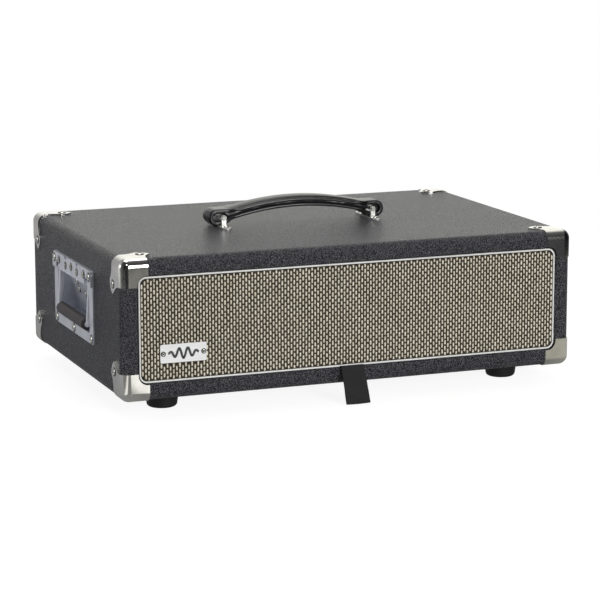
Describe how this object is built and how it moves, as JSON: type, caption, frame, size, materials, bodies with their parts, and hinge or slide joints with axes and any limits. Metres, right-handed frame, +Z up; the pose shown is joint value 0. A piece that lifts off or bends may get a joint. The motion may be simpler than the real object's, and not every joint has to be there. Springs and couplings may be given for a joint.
{
  "type": "rack case",
  "caption": "Portable rack case styled as a vintage guitar amp head: vinyl-covered plywood box, pull-off grille covers, metal corners, strap handle and recessed side handles.",
  "frame": {"origin": "on the floor under the middle of the case", "axes": "+X across the front to the right, +Y to the rear, +Z up"},
  "size_m": [0.5406, 0.4042, 0.2029],
  "materials": {
    "plywood": "birch plywood, painted black inside",
    "covering": "pebbled black vinyl",
    "nickel": "nickel plated pressed steel",
    "zinc": "bright zinc plated steel",
    "rubber": "matt black",
    "spring_steel": "oiled",
    "strap": "glossy black padded vinyl, stitched",
    "black_zinc": "black zinc",
    "rail_paint": "black powder coat",
    "tape": "black hook and loop tape",
    "grille_cloth": "cream dashes woven over dark brown",
    "piping": "silver white vinyl cord",
    "webbing": "black woven webbing",
    "badge": "satin silver, plain"
  },
  "bodies": {
    "case": {"bottom_panel": "plywood", "case_pads": "tape", "corner_front_left_bottom": "nickel", "corner_front_left_top": "nickel", "corner_front_right_bottom": "nickel", "corner_front_right_top": "nickel", "corner_rear_left_bottom": "nickel", "corner_rear_left_top": "nickel", "corner_rear_right_bottom": "nickel", "corner_rear_right_top": "nickel", "corner_screws": "nickel", "foot_front_left": "rubber", "foot_front_right": "rubber", "foot_rear_left": "rubber", "foot_rear_right": "rubber", "foot_screws": "black_zinc", "foot_washers": "black_zinc", "front_cleats": "plywood", "handle_bracket_left": "nickel", "handle_bracket_right": "nickel", "handle_core": "spring_steel", "handle_pins": "nickel", "handle_screws": "nickel", "handle_strap": "strap", "left_side_panel": "plywood", "rack_rail_front_left": "rail_paint", "rack_rail_front_right": "rail_paint", "rack_rail_rear_left": "rail_paint", "rack_rail_rear_right": "rail_paint", "rail_screws": "black_zinc", "rear_cleats": "plywood", "right_side_panel": "plywood", "side_handle_pan_left": "zinc", "side_handle_pan_right": "zinc", "side_handle_rivets": "nickel", "side_handle_screws": "nickel", "side_handle_springs": "spring_steel", "side_handle_strip_left": "zinc", "side_handle_strip_right": "zinc", "top_panel": "plywood", "vinyl_covering": "covering"},
    "front_cover": {"badge_plate": "badge", "badge_pins": "nickel", "front_cover_board": "plywood", "front_cover_pads": "tape", "front_grille_cloth": "grille_cloth", "front_piping": "piping", "front_tab_root": "webbing"},
    "rear_cover": {"rear_cover_board": "plywood", "rear_cover_pads": "tape", "rear_grille_cloth": "grille_cloth", "rear_piping": "piping", "rear_tab_root": "webbing"},
    "front_tab": {"front_pull_tab": "webbing"},
    "rear_tab": {"rear_pull_tab": "webbing"},
    "bail_left": {"side_handle_bail_left": "zinc", "side_handle_grip_left": "rubber"},
    "bail_right": {"side_handle_bail_right": "zinc", "side_handle_grip_right": "rubber"}
  },
  "joints": [
    {"name": "front_cover_pull", "type": "slide", "parent": "case", "child": "front_cover", "axis": [0, -1, 0], "range_m": [0, 0.15]},
    {"name": "rear_cover_pull", "type": "slide", "parent": "case", "child": "rear_cover", "axis": [0, 1, 0], "range_m": [0, 0.15]},
    {"name": "front_tab_fold", "type": "hinge", "parent": "front_cover", "child": "front_tab", "pos_m": [-0.002, -0.179, 0.03865], "axis": [-1, 0, 0], "range_deg": [0, 100]},
    {"name": "rear_tab_fold", "type": "hinge", "parent": "rear_cover", "child": "rear_tab", "pos_m": [0.002, 0.179, 0.03865], "axis": [1, 0, 0], "range_deg": [0, 100]},
    {"name": "left_bail_swing", "type": "hinge", "parent": "case", "child": "bail_left", "pos_m": [-0.2602, 0, 0.1283], "axis": [0, 1, 0], "range_deg": [0, 90], "stiffness_Nm_per_rad": 0.25, "springref_deg": -34.38},
    {"name": "right_bail_swing", "type": "hinge", "parent": "case", "child": "bail_right", "pos_m": [0.2602, 0, 0.1283], "axis": [0, -1, 0], "range_deg": [0, 90], "stiffness_Nm_per_rad": 0.25, "springref_deg": -34.38}
  ]
}
